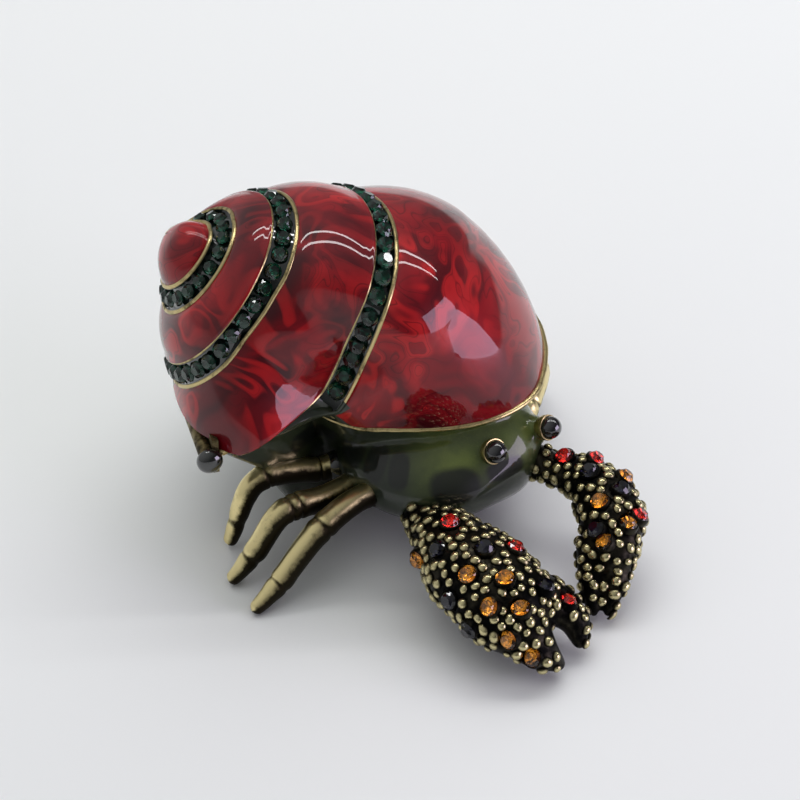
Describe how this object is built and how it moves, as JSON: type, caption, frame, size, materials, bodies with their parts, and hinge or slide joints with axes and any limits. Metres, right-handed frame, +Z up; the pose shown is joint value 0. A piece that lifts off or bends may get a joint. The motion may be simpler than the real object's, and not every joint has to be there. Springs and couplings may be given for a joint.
{
  "type": "trinket_box",
  "caption": "Hermit crab trinket box: enamelled spiral shell with a stone-set channel hinges open as the lid of a crab-shaped bowl with legs and studded claws",
  "frame": {"origin": "On the ground under the crab's body, in the plane of the flat underside", "axes": "+X the crab's left, -Y the way it faces, +Z up"},
  "size_m": [0.0563, 0.0703, 0.0437],
  "materials": {
    "antique_brass": "antiqued",
    "dark_bronze": "oxidised with worn highlights",
    "red_enamel": "gloss pearly enamel",
    "green_enamel": "gloss enamel over cast metal",
    "emerald_crystal": "faceted",
    "topaz_crystal": "faceted",
    "red_crystal": "faceted",
    "jet": "polished black",
    "steel": "satin"
  },
  "bodies": {
    "base": {"base_casting": "green_enamel", "hinge_base_leaf": "antique_brass", "hinge_pin": "antique_brass", "base_magnet": "steel", "right_front_leg": "antique_brass", "right_middle_leg": "antique_brass", "right_rear_leg": "antique_brass", "left_front_leg": "antique_brass", "left_middle_leg": "antique_brass", "left_rear_leg": "antique_brass", "right_claw": "dark_bronze", "left_claw": "dark_bronze", "right_eye_cup": "antique_brass", "left_eye_cup": "antique_brass", "right_eye_bead": "jet", "left_eye_bead": "jet", "right_claw_topaz": "topaz_crystal", "right_claw_red": "red_crystal", "right_claw_black": "jet", "left_claw_topaz": "topaz_crystal", "left_claw_red": "red_crystal", "left_claw_black": "jet"},
    "lid": {"lid_casting": "antique_brass", "apex_enamel": "red_enamel", "spire_enamel": "red_enamel", "body_whorl_enamel": "red_enamel", "channel_crystals": "emerald_crystal", "hinge_lid_leaf": "antique_brass", "lid_magnet": "steel"}
  },
  "joints": [
    {"name": "lid_hinge", "type": "hinge", "parent": "base", "child": "lid", "pos_m": [-0.03323, 0.00752, 0.018], "axis": [-0.2924, -0.9563, 0], "range_deg": [0, 80]}
  ]
}
